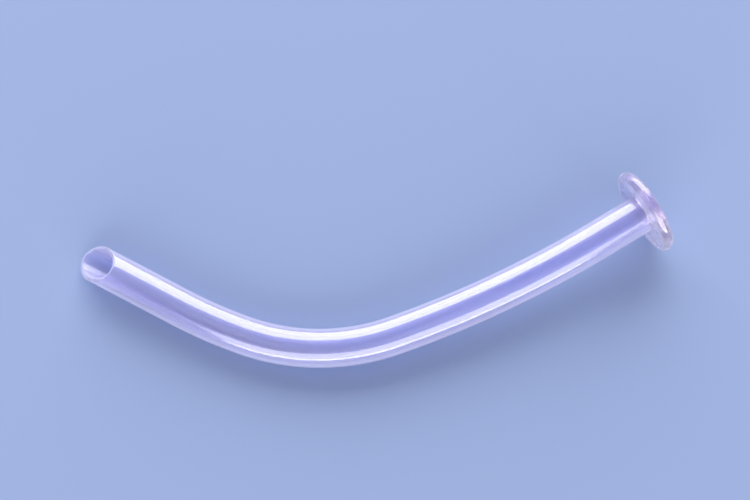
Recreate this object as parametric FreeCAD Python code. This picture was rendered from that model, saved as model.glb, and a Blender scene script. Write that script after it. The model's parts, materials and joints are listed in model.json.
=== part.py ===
"""Clear nasopharyngeal airway: a curved tube with a bevelled, rounded tip, and a round flange on its other end.

The airway is drawn flat on a bench plane first: the flange's outer face is at the bench origin, the tube starts
along +X and bends clockwise, and the bevel's mouth faces +Z. It is then laid down the way it comes to rest on a
table, on the flange's rim and the outside of the bend, with its length along X and its box standing on Z = 0.
"""

import FreeCAD
import Part

import math
import os

from FreeCAD import Placement, Rotation, Vector

# Tube, in millimetres and degrees.
tube_outer_diameter = 9.3
tube_wall = 1.15

# The tube's line from the flange to the tip: a straight run, three bends that run into each other, a straight run.
flange_straight = 15.0
upper_bend_radius = 268.0
upper_bend_angle = 11.5
main_bend_radius = 53.7
main_bend_angle = 39.2
lower_bend_radius = 124.0
lower_bend_angle = 8.0
tip_straight = 23.0

# Tip: the angle that the bevel leans from a square cut, and the rounding of both edges of its lip.
bevel_angle = 50.0
lip_radius = 0.5

# Flange: a disc with a rounded rim. The rim's depth is how far it bulges out past the flat faces.
flange_diameter = 21.4
flange_thickness = 2.5
flange_rim_depth = 0.7
cement_film = 0.05

# The lip's rounding takes at most this share of the wall.
widest_rounding = 0.47

# How near two places are when they count as one, and how finely the line is walked to find where it rests.
same_place = 1e-4
walk_step = 0.1
tilt_rounds = 20

tube_outer_radius = tube_outer_diameter / 2
tube_inner_radius = tube_outer_radius - tube_wall
flange_radius = flange_diameter / 2
flange_flat_radius = flange_radius - flange_rim_depth
rim_arc_radius = ((flange_thickness / 2) ** 2 + flange_rim_depth ** 2) / (2 * flange_rim_depth)
lip = min(lip_radius, widest_rounding * tube_wall)

START = Vector(0, 0, 0)
ALONG = Vector(1, 0, 0)
UP = Vector(0, 0, 1)


class TubeLine:
    """The tube's centreline on the bench plane, walked from the flange to the tip."""

    def __init__(self):
        self.runs = []
        self.place = START
        self.heading = 0.0

    def forward(self):
        return Rotation(UP, self.heading).multVec(ALONG)

    def straight(self, length):
        self.runs.append(("straight", self.place, self.forward(), length, None))
        self.place = self.place + self.forward() * length

    def bend(self, radius, angle):
        """Bends clockwise, as seen from above."""
        centre = self.place + self.forward().cross(UP) * radius
        self.runs.append(("bend", self.place, self.forward(), angle, centre))
        self.place = centre + Rotation(UP, -angle).multVec(self.place - centre)
        self.heading -= angle


def tube_line():
    line = TubeLine()
    line.straight(flange_straight)
    line.bend(upper_bend_radius, upper_bend_angle)
    line.bend(main_bend_radius, main_bend_angle)
    line.bend(lower_bend_radius, lower_bend_angle)
    line.straight(tip_straight)
    return line


def one_solid(shape):
    """The single solid that a cut, a fuse or a rounding leaves."""
    if len(shape.Solids) != 1:
        raise ValueError(f"one solid is wanted, and there are {len(shape.Solids)}")
    return shape.Solids[0]


def edges_on_plane(shape, point, normal):
    """The edges that lie all along a plane."""
    found = []
    for edge in shape.Edges:
        middle = edge.valueAt((edge.FirstParameter + edge.LastParameter) / 2)
        places = [vertex.Point for vertex in edge.Vertexes] + [middle]
        if all(abs((place - point).dot(normal)) < same_place for place in places):
            found.append(edge)
    return found


def section(place, forward):
    """The tube's ring-shaped section at a place on its line."""
    outer = Part.Wire(Part.makeCircle(tube_outer_radius, place, forward))
    inner = Part.Wire(Part.makeCircle(tube_inner_radius, place, forward))
    return Part.makeFace([outer, inner], "Part::FaceMakerBullseye")


def bevel_length():
    """How far apart the bevel's first and last points are along the tube."""
    return tube_outer_diameter * math.tan(math.radians(bevel_angle))


def swept_tube(line):
    """The whole tube, run by run, with enough spare length at the tip for the bevel."""
    solids = []
    for kind, place, forward, amount, centre in line.runs:
        if kind == "straight":
            solids.append(section(place, forward).extrude(forward * amount))
        else:
            solids.append(section(place, forward).revolve(centre, UP, -amount))
    spare = line.forward() * bevel_length()
    solids.append(section(line.place, line.forward()).extrude(spare))
    return solids[0].multiFuse(solids[1:]).removeSplitter()


def bevel_normal(line):
    """The way the bevel's mouth faces: along the tube, leaned up off the bench."""
    return Rotation(line.forward().cross(UP), bevel_angle).multVec(line.forward())


def bevel_cutter(line):
    """A block that stands on the bevel's plane and covers all that the cut takes off."""
    side = 2 * (bevel_length() + tube_outer_diameter)
    block = Part.makeBox(side, side, side, Vector(-side / 2, -side / 2, 0))
    block.Placement = Placement(line.place, Rotation(UP, bevel_normal(line)))
    return block


def make_tube(line):
    tube = one_solid(swept_tube(line).cut(bevel_cutter(line)))
    return one_solid(tube.makeFillet(lip, edges_on_plane(tube, line.place, bevel_normal(line))))


def make_flange():
    """A flat disc with a rounded rim, and a hole that the tube's end is cemented into, flush with its outer face."""
    hole_radius = tube_outer_radius + cement_film
    outer_hole = Vector(0, hole_radius, 0)
    outer_flat = Vector(0, flange_flat_radius, 0)
    rim_middle = Vector(flange_thickness / 2, flange_radius, 0)
    inner_flat = Vector(flange_thickness, flange_flat_radius, 0)
    inner_hole = Vector(flange_thickness, hole_radius, 0)
    profile = Part.Wire([
        Part.makeLine(outer_hole, outer_flat),
        Part.Arc(outer_flat, rim_middle, inner_flat).toShape(),
        Part.makeLine(inner_flat, inner_hole),
        Part.makeLine(inner_hole, outer_hole),
    ])
    return one_solid(Part.Face(profile).revolve(START, ALONG, 360))


def line_samples(line):
    """Close points of the tube's line and its heading at each."""
    samples = []
    for kind, place, forward, amount, centre in line.runs:
        length = amount if kind == "straight" else math.radians(amount) * (place - centre).Length
        count = int(length / walk_step) + 1
        for number in range(count):
            share = number / count
            if kind == "straight":
                samples.append((place + forward * (amount * share), forward))
            else:
                turn = Rotation(UP, -amount * share)
                samples.append((centre + turn.multVec(place - centre), turn.multVec(forward)))
    return samples


def balance_point(tube, flange):
    """The centre of mass of both pieces, brought down to the bench plane."""
    volume = tube.Volume + flange.Volume
    balance = (tube.CenterOfMass * tube.Volume + flange.CenterOfMass * flange.Volume) / volume
    balance.z = 0
    return balance


def rest_tilt(reach, lean_share):
    """The tilt, in radians, that brings the flange's rim and the outside of the bend to one level."""
    tilt = 0.0
    for _ in range(tilt_rounds):
        lean = lean_share * math.sin(tilt)
        drop = (flange_radius - rim_arc_radius) * math.sqrt(1 - lean * lean) + rim_arc_radius
        tilt = math.asin((drop - tube_outer_radius) / reach)
    return tilt


def resting_place(line, tube, flange):
    """Where the airway comes to rest: on the flange's rim and on the outside of the bend.

    Seen from above, the rim's contact, the centre of mass and the bend's contact are in one line, and the tube
    lies level along its own direction at the bend's contact.
    """
    balance = balance_point(tube, flange)
    middle = ALONG * (flange_thickness / 2)
    across = UP.cross(balance - middle)
    past = [pair for pair in line_samples(line) if (pair[0] - balance).dot(balance - middle) > 0]
    contact, level = min(past, key=lambda pair: abs((pair[0] - balance).dot(across)))
    reach = (middle - contact).dot(UP.cross(level))
    if reach < 0:
        level = level * -1
        reach = -reach

    tilt = rest_tilt(reach, abs(level.y))
    laid = Placement(START, Rotation(level, math.degrees(tilt)), contact)
    chord = laid.multVec(middle) - laid.multVec(line.place)
    turned = Placement(START, Rotation(UP, -math.degrees(math.atan2(chord.y, chord.x))))
    return turned.multiply(laid)


def exact_box(shapes):
    """The tight box round several shapes."""
    box = FreeCAD.BoundBox()
    for shape in shapes:
        box.add(shape.optimalBoundingBox(False, False))
    return box


def main():
    line = tube_line()
    tube = make_tube(line)
    flange = make_flange()
    rest = resting_place(line, tube, flange)
    box = exact_box([tube.transformed(rest.toMatrix()), flange.transformed(rest.toMatrix())])
    to_base = Placement(Vector(-box.Center.x, -box.Center.y, -box.ZMin), Rotation())
    frame = to_base.multiply(rest)

    os.makedirs("parts", exist_ok=True)
    nodes = {"tube": tube, "flange": flange}
    for name, shape in nodes.items():
        nodes[name] = shape.transformed(frame.toMatrix())
        nodes[name].exportStep(f"parts/{name}.step")
    return line, nodes, frame


if __name__ == "__main__":
    main()
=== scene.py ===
"""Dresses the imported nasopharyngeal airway: a clear, faintly milky tube and flange, lying on a pale bench."""

import json
import math

import bmesh
import bpy
from mathutils import Matrix, Vector

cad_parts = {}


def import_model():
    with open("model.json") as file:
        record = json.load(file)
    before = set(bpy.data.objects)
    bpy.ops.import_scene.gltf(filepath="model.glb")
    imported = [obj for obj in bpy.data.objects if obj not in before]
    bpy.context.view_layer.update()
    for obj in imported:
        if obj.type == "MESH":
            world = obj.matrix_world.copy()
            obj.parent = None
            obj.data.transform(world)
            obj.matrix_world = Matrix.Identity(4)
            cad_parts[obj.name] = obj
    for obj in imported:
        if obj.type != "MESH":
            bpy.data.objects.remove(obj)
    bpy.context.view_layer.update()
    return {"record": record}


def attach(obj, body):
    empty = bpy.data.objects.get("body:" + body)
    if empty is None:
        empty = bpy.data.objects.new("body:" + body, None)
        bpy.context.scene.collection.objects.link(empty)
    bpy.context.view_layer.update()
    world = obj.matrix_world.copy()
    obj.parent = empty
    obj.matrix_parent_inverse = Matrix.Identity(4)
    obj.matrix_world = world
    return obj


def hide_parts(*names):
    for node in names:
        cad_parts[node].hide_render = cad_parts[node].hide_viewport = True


MM = 0.001
UP = Vector((0, 0, 1))

# The airway's own sizes in millimetres and degrees, as its solids have them; a bend is a radius and an angle.
tube_outer_radius = 4.65
tube_inner_radius = 3.5
flange_straight = 15.0
bends = [(268.0, 11.5), (53.7, 39.2), (124.0, 8.0)]
tip_straight = 23.0
bevel_angle = 50.0
lip_radius = 0.5
flange_radius = 10.7
flange_thickness = 2.5
flange_rim_depth = 0.7
cement_film = 0.05

# Small forms: the softness of the tube's square cut and of the flange's hole, the bead of cement in the corner
# between them, and how far the mould's parting line stands up round the middle of the flange's rim.
cut_softness = 0.12
cement_bead = 0.3
parting_line = 0.05

# How finely the pieces are meshed; the row step is in millimetres.
tube_columns = 112
flange_columns = 160
row_step = 1.0
arc_steps = 8
rim_steps = 24
land_steps = 4
face_steps = 8

# The camera, in degrees and millimetres: where it looks on the floor, how far away it is, and how near it sees.
camera_azimuth = -4.93
camera_elevation = 72.87
camera_target = Vector((0.58, 9.52, 0.0))
camera_distance = 369.5
camera_nearest = 10.0
camera_lens = 72.0

# Clear soft plastic: how strongly it bends light, and its glossy outer skin.
plastic_ior = 1.53
skin_ior = 1.65
skin_roughness = 0.12

# The haze on its surface.
haze_roughness = 0.7
haze_tint = (0.86, 0.86, 1.0, 1)

# The part of a noise's range that a pattern is spread over; the narrower one gives more contrast.
noise_range = 0.3, 0.7
noise_core = 0.35, 0.65

# The tube's roughness and clearness at the two ends of their patterns, how much rougher its bore is, how much
# hazier its wall is where it is seen edge-on, and the haze on its surface.
tube_roughness = 0.11, 0.22
tube_clearness = 1.0, 0.82
bore_dullness = 0.05
edge_haze = 0.55
tube_haze = 0.32

# The flange's roughness and clearness at the two ends of their pattern, and the haze on its surface.
flange_roughness = 0.07, 0.16
flange_clearness = 0.98, 0.76
flange_haze = 0.45

# Tints, as linear colours: the tube's two, in streaks, and the flange's, from its one side to its other.
tube_tints = (0.8, 0.755, 0.98, 1), (0.7, 0.7, 1.0, 1)
flange_tints = (0.76, 0.63, 1.0, 1), (1.0, 0.84, 0.93, 1)

# The tube's patterns are drawn out lengthwise by this much.
draw_out = 0.03

# The tube's outside begins between these two distances from its middle line, halfway through the wall.
wall_middle = 3.9, 4.2

# The flange's tint changes along its side, in millimetres, and its clouds push the change about.
flange_cloud_push = -14.0
flange_tint_start = -15.0
flange_tint_end = 1.0

# The studio: the floor, its radius in metres, the light from all sides, and the backdrop's colour.
floor_colour = (0.29, 0.365, 0.59, 1)
floor_roughness = 0.9
floor_radius = 1.3
floor_sides = 128
surround_colour = (0.9, 0.93, 1.0, 1)
surround_strength = 0.35
backdrop_colour = (0.35, 0.44, 0.7, 1)

# The lamps, all this far away in metres: each one's name, its azimuth and elevation in degrees, its width and
# height in metres, and its brightness, where 1 is white.
lamp_distance = 1.6
lamps = [
    ("softbox", 180, 28, 2.4, 1.76, 4.1),
    ("fill", 0, 21, 2.4, 1.3, 3.0),
    ("strip", 0, 4.5, 2.4, 0.24, 3.8),
]


def straight_station(place, forward, run):
    return place + forward * run, forward


def bend_station(place, forward, radius, run):
    """A place and heading on a clockwise bend of this radius, this far along it."""
    centre = place + forward.cross(UP) * radius
    turn = Matrix.Rotation(-run / radius, 3, "Z")
    return centre + turn @ (place - centre), turn @ forward


class TubeLine:
    """The tube's centreline on its own flat plane, from the flange's outer face along +X to the tip."""

    def __init__(self):
        self.runs = []
        self.length = 0.0
        self.place = Vector((0, 0, 0))
        self.forward = Vector((1, 0, 0))
        self.add(flange_straight, None)
        for radius, angle in bends:
            self.add(radius * math.radians(angle), radius)
        self.add(tip_straight, None)

    def add(self, length, radius):
        self.runs.append((self.length, length, radius, self.place, self.forward))
        self.place, self.forward = self.station(self.length + length)
        self.length += length

    def station(self, along):
        """The place and heading at this distance along the line; it runs on straight past its ends."""
        start, _, radius, place, forward = next(
            (run for run in reversed(self.runs) if run[0] <= along), self.runs[0])
        if radius is None:
            return straight_station(place, forward, along - start)
        return bend_station(place, forward, radius, along - start)


def frame_matrix(record):
    """Takes the tube's flat plane, in millimetres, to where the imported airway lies, in metres."""
    mounts = {mount["name"]: mount for mount in record["mounts"]}
    mouth = mounts["connector_end"]
    along = -Vector(mouth["axis"])
    up = Vector(mounts["tip_end"]["axis"]).cross(along).normalized()
    across = up.cross(along)
    origin = Vector(mouth["pos_m"]) - along * (mouth["dims"]["length_mm"] / 2 * MM)
    turn = Matrix((along, across, up)).transposed().to_4x4()
    return Matrix.Translation(origin) @ turn @ Matrix.Scale(MM, 4)


def rounded_corner(before, corner, after, radius):
    """The points of the arc that rounds a corner between two straight sides, in the plane of the section."""
    to_before = (before - corner).normalized()
    to_after = (after - corner).normalized()
    half = to_before.angle(to_after) / 2
    middle = corner + (to_before + to_after).normalized() * (radius / math.sin(half))
    first = corner + to_before * (radius / math.tan(half)) - middle
    last = corner + to_after * (radius / math.tan(half)) - middle
    sweep = first.angle_signed(last)
    arc = []
    for step in range(arc_steps + 1):
        turned = first.copy()
        turned.rotate(Matrix.Rotation(-sweep * step / arc_steps, 2))
        arc.append(middle + turned)
    return arc


def points_between(first, last, steps):
    """Points at even distances between two ends, which are both left out."""
    return [first.lerp(last, step / steps) for step in range(1, steps)]


def rounded_loop(corners, radii):
    """The rounded corners of a closed outline, one list of points for each."""
    outline = []
    for number, corner in enumerate(corners):
        before = corners[number - 1]
        after = corners[(number + 1) % len(corners)]
        outline.append(rounded_corner(before, corner, after, radii[number]))
    return outline


def wall_section(line, lean):
    """The wall's lengthwise section as (run along the tube, radius) points, where the bevel leans this much."""
    start_outer = Vector((0, tube_outer_radius))
    end_outer = Vector((line.length - tube_outer_radius * lean, tube_outer_radius))
    end_inner = Vector((line.length - tube_inner_radius * lean, tube_inner_radius))
    start_inner = Vector((0, tube_inner_radius))
    corners = [start_outer, end_outer, end_inner, start_inner]
    outer_cut, outer_lip, inner_lip, inner_cut = rounded_loop(
        corners, [cut_softness, lip_radius, lip_radius, cut_softness])
    points = outer_cut + wall_rows(line, outer_lip[0])
    points += outer_lip + points_between(outer_lip[-1], inner_lip[0], land_steps)
    points += inner_lip + wall_rows(line, inner_lip[-1])[::-1]
    points += inner_cut + points_between(inner_cut[-1], outer_cut[0], land_steps)
    return points


def wall_rows(line, lip_start):
    """Rows along the wall: square to the tube up to its last straight run, then leaning with the bevel."""
    square = line.length - tip_straight
    square_steps = round(square / row_step)
    leaning_steps = round(tip_straight / row_step)
    rows = [Vector((square * step / square_steps, lip_start.y)) for step in range(1, square_steps + 1)]
    return rows + points_between(rows[-1], lip_start, leaning_steps)


def ring_mesh(name, columns, matrix):
    """A closed mesh from columns of (place, drawn place) pairs, each joined to the next, the last to the first.

    The drawn place is where the point would be if the tube were straight. The materials read their patterns
    there. Its UV map runs once round the ring and once round its section.
    """
    mesh = bmesh.new()
    drawn_layer = mesh.verts.layers.float_vector.new("drawn")
    map_layer = mesh.loops.layers.uv.new("OFBake")
    grid = []
    for column in columns:
        line = []
        for place, drawn in column:
            vertex = mesh.verts.new(matrix @ place)
            vertex[drawn_layer] = drawn
            line.append(vertex)
        grid.append(line)
    around, along = len(grid), len(grid[0])
    for number in range(around):
        for row in range(along):
            corners = [(number, row), (number, row + 1), (number + 1, row + 1), (number + 1, row)]
            face = mesh.faces.new([grid[across % around][step % along] for across, step in corners])
            face.smooth = True
            for loop, (across, step) in zip(face.loops, corners):
                loop[map_layer].uv = (across / around, step / along)
    bmesh.ops.recalc_face_normals(mesh, faces=mesh.faces)
    data = bpy.data.meshes.new(name)
    mesh.to_mesh(data)
    mesh.free()
    piece = bpy.data.objects.new(name, data)
    bpy.context.scene.collection.objects.link(piece)
    return piece


def make_tube(matrix):
    """The tube, in columns all round it; each column ends where the bevel cuts it."""
    line = TubeLine()
    steepness = math.tan(math.radians(bevel_angle))
    columns = []
    for number in range(tube_columns):
        angle = 2 * math.pi * number / tube_columns
        column = []
        for run, radius in wall_section(line, math.cos(angle) * steepness):
            place, forward = line.station(run)
            side = radius * math.sin(angle)
            up = radius * math.cos(angle)
            column.append((place + forward.cross(UP) * side + UP * up, Vector((side, up, run))))
        columns.append(column)
    return ring_mesh("clear_tube", columns, matrix)


def flange_section():
    """The flange's section as (run along the tube, radius) points: rim, two faces, cement bead and hole."""
    hole_radius = tube_outer_radius + cement_film
    flat_radius = flange_radius - flange_rim_depth
    half = flange_thickness / 2
    arc_radius = (half ** 2 + flange_rim_depth ** 2) / (2 * flange_rim_depth)
    half_angle = math.asin(half / arc_radius)
    rim = []
    for step in range(rim_steps + 1):
        angle = half_angle * (2 * step / rim_steps - 1)
        short = 0 if 2 * step == rim_steps else parting_line
        rim.append(Vector((half + arc_radius * math.sin(angle),
                           flange_radius - short - arc_radius * (1 - math.cos(angle)))))
    outer_hole = Vector((0, hole_radius))
    outer_edge = rounded_corner(Vector((half, hole_radius)), outer_hole, rim[0], cut_softness)
    bead = []
    for step in range(arc_steps + 1):
        angle = math.pi / 2 * step / arc_steps
        bead.append(Vector((flange_thickness + cement_bead * (1 - math.cos(angle)),
                            hole_radius + cement_bead * (1 - math.sin(angle)))))
    points = rim + points_between(rim[-1], bead[0], face_steps) + bead
    points += points_between(bead[-1], outer_edge[0], face_steps) + outer_edge
    return points + points_between(outer_edge[-1], rim[0], face_steps)


def make_flange(matrix):
    """The flange, revolved from its section."""
    section = flange_section()
    columns = []
    for number in range(flange_columns):
        angle = 2 * math.pi * number / flange_columns
        column = []
        for run, radius in section:
            place = Vector((run, radius * math.sin(angle), radius * math.cos(angle)))
            column.append((place, place))
        columns.append(column)
    return ring_mesh("clear_flange", columns, matrix)


class Shading:
    """A Principled material under way: its nodes are added and joined with short calls."""

    def __init__(self, name):
        self.material = bpy.data.materials.new(name)
        self.material.use_nodes = True
        self.tree = self.material.node_tree
        self.shader = self.tree.nodes["Principled BSDF"]

    def node(self, kind, inputs=(), **settings):
        made = self.tree.nodes.new(kind)
        for name, value in settings.items():
            setattr(made, name, value)
        for name, value in dict(inputs).items():
            if isinstance(value, bpy.types.NodeSocket):
                self.tree.links.new(value, made.inputs[name])
            else:
                made.inputs[name].default_value = value
        return made

    def set(self, name, value):
        if isinstance(value, bpy.types.NodeSocket):
            self.tree.links.new(value, self.shader.inputs[name])
        else:
            self.shader.inputs[name].default_value = value

    def noise(self, place, scale, detail, roughness=0.5):
        """A cloudy pattern; scale is how many of its spots there are to a millimetre."""
        made = self.node("ShaderNodeTexNoise", {"Vector": place, "Scale": scale, "Detail": detail,
                                                "Roughness": roughness})
        return made.outputs["Fac"]

    def spread(self, value, low, high, to_low, to_high):
        """Spreads a value's range evenly over another range, and stops at its ends."""
        made = self.node("ShaderNodeMapRange", {"Value": value, "From Min": low, "From Max": high,
                                                "To Min": to_low, "To Max": to_high})
        return made.outputs["Result"]

    def bumps(self, layers):
        """Bumps laid one on another, from (height, how many millimetres high) pairs."""
        normal = {}
        for height, millimetres in layers:
            bump = self.node("ShaderNodeBump", {"Height": height, "Strength": 1.0,
                                                "Distance": millimetres * MM, **normal})
            normal = {"Normal": bump.outputs["Normal"]}
        self.set("Normal", bump.outputs["Normal"])

    def drawn_place(self):
        """Where a point would be, in millimetres, if the tube were straight."""
        return self.node("ShaderNodeAttribute", attribute_name="drawn").outputs["Vector"]

    def multiply_add(self, value, factor, addend):
        made = self.node("ShaderNodeMath", {0: value, 1: factor, 2: addend}, operation="MULTIPLY_ADD")
        return made.outputs[0]


def clear_plastic(look, share, tints):
    """What the clear soft plastic of both pieces has in common: a tint that varies, gloss and haze."""
    tint = look.node("ShaderNodeMix", {"Factor": share, "A": tints[0], "B": tints[1]}, data_type="RGBA")
    look.set("Base Color", tint.outputs["Result"])
    look.set("IOR", plastic_ior)
    look.set("Coat IOR", skin_ior)
    look.set("Coat Roughness", skin_roughness)
    look.set("Sheen Roughness", haze_roughness)
    look.set("Sheen Tint", haze_tint)


def tube_plastic():
    """Extruded plastic: its haze, tint and gloss vary in lines along the tube, and its bore has no glossy skin.

    The wall is hazier where it is seen edge-on, through more plastic.
    """
    look = Shading("clear_tube")
    drawn = look.drawn_place()
    lengthwise = look.node("ShaderNodeMapping", {"Vector": drawn, "Scale": (1, 1, draw_out)}).outputs["Vector"]
    cloud = look.noise(drawn, 0.12, 2)
    streaks = look.noise(lengthwise, 0.45, 2)
    lines = look.noise(lengthwise, 1.6, 4, 0.6)
    grain = look.noise(drawn, 3.0, 3)
    clear_plastic(look, look.spread(streaks, *noise_core, 0, 1), tube_tints)

    flat = look.node("ShaderNodeVectorMath", {0: drawn, 1: (1, 1, 0)}, operation="MULTIPLY").outputs[0]
    radius = look.node("ShaderNodeVectorMath", {0: flat}, operation="LENGTH").outputs["Value"]
    look.set("Coat Weight", look.spread(radius, *wall_middle, 0, 1))
    rough = look.spread(lines, *noise_range, *tube_roughness)
    inside = look.spread(radius, *wall_middle, 1, 0)
    look.set("Roughness", look.multiply_add(inside, bore_dullness, rough))

    edge = look.node("ShaderNodeLayerWeight", {"Blend": 0.5}).outputs["Facing"]
    clear = look.spread(streaks, *noise_core, *tube_clearness)
    look.set("Transmission Weight", look.multiply_add(edge, -edge_haze, clear))
    look.set("Sheen Weight", tube_haze)
    look.bumps([(cloud, 0.1), (streaks, 0.03), (lines, 0.012), (grain, 0.004)])
    return look.material


def flange_plastic():
    """Moulded plastic: its tint turns from violet to pink across it, with slow swirls and an orange peel."""
    look = Shading("clear_flange")
    drawn = look.drawn_place()
    cloud = look.noise(drawn, 0.18, 1)
    swirl = look.noise(drawn, 0.4, 1)
    peel = look.noise(drawn, 1.4, 3)
    side = look.node("ShaderNodeSeparateXYZ", {"Vector": drawn}).outputs["Y"]
    pushed = look.multiply_add(cloud, flange_cloud_push, side)
    clear_plastic(look, look.spread(pushed, flange_tint_start, flange_tint_end, 0, 1), flange_tints)
    look.set("Roughness", look.spread(swirl, *noise_range, *flange_roughness))
    look.set("Transmission Weight", look.spread(swirl, *noise_core, *flange_clearness))
    look.set("Sheen Weight", flange_haze)
    look.set("Coat Weight", 1)
    look.bumps([(cloud, 0.3), (swirl, 0.12), (peel, 0.01)])
    return look.material


def direction(azimuth, elevation):
    """The way to something at these degrees: azimuth 0 is the front, -Y, and 90 the right."""
    turn, rise = math.radians(azimuth), math.radians(elevation)
    return Vector((math.sin(turn) * math.cos(rise), -math.cos(turn) * math.cos(rise), math.sin(rise)))


def put_camera():
    back = direction(camera_azimuth, camera_elevation)
    data = bpy.data.cameras.new("camera")
    data.lens = camera_lens
    data.clip_start = camera_nearest * MM
    camera = bpy.data.objects.new("camera", data)
    camera.location = (camera_target + back * camera_distance) * MM
    right = direction(camera_azimuth + 90, 0)
    camera.rotation_euler = Matrix((right, back.cross(right), back)).transposed().to_euler()
    bpy.context.scene.collection.objects.link(camera)
    bpy.context.scene.camera = camera


def put_lamp(name, azimuth, elevation, width, height, strength):
    """A soft rectangular lamp that faces the airway, with the power that gives its face this brightness."""
    light = bpy.data.lights.new(name, "AREA")
    light.shape = "RECTANGLE"
    light.size = width
    light.size_y = height
    light.energy = strength * math.pi * width * height
    lamp = bpy.data.objects.new(name, light)
    towards = direction(azimuth, elevation)
    lamp.location = towards * lamp_distance
    lamp.rotation_euler = towards.to_track_quat("Z", "Y").to_euler()
    bpy.context.scene.collection.objects.link(lamp)


def put_floor():
    mesh = bmesh.new()
    bmesh.ops.create_circle(mesh, cap_ends=True, radius=floor_radius, segments=floor_sides)
    data = bpy.data.meshes.new("floor")
    mesh.to_mesh(data)
    mesh.free()
    floor = bpy.data.objects.new("floor", data)
    bpy.context.scene.collection.objects.link(floor)
    paint = Shading("floor")
    paint.set("Base Color", floor_colour)
    paint.set("Roughness", floor_roughness)
    paint.set("Specular IOR Level", 0)
    data.materials.append(paint.material)


def put_backdrop():
    """A soft, even light on all sides; what is seen there, mirrored or through glass too, is pale blue."""
    world = bpy.data.worlds.new("studio")
    bpy.context.scene.world = world
    world.use_nodes = True
    tree = world.node_tree
    lighting = tree.nodes["Background"]
    lighting.inputs["Color"].default_value = surround_colour
    lighting.inputs["Strength"].default_value = surround_strength
    backdrop = tree.nodes.new("ShaderNodeBackground")
    backdrop.inputs["Color"].default_value = backdrop_colour
    backdrop.inputs["Strength"].default_value = 1
    ray = tree.nodes.new("ShaderNodeLightPath")
    seen = ray.outputs["Is Camera Ray"]
    for name in ("Is Glossy Ray", "Is Transmission Ray"):
        either = tree.nodes.new("ShaderNodeMath")
        either.operation = "MAXIMUM"
        tree.links.new(seen, either.inputs[0])
        tree.links.new(ray.outputs[name], either.inputs[1])
        seen = either.outputs[0]
    choice = tree.nodes.new("ShaderNodeMixShader")
    tree.links.new(seen, choice.inputs["Fac"])
    tree.links.new(lighting.outputs[0], choice.inputs[1])
    tree.links.new(backdrop.outputs[0], choice.inputs[2])
    tree.links.new(choice.outputs[0], tree.nodes["World Output"].inputs["Surface"])


def main():
    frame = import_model()
    matrix = frame_matrix(frame["record"])
    tube = make_tube(matrix)
    tube.data.materials.append(tube_plastic())
    flange = make_flange(matrix)
    flange.data.materials.append(flange_plastic())
    for piece, node in ((tube, "tube"), (flange, "flange")):
        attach(piece, "root")
        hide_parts(node)

    put_floor()
    put_backdrop()
    for lamp in lamps:
        put_lamp(*lamp)
    put_camera()
    bpy.context.scene.view_settings.view_transform = "Standard"


main()
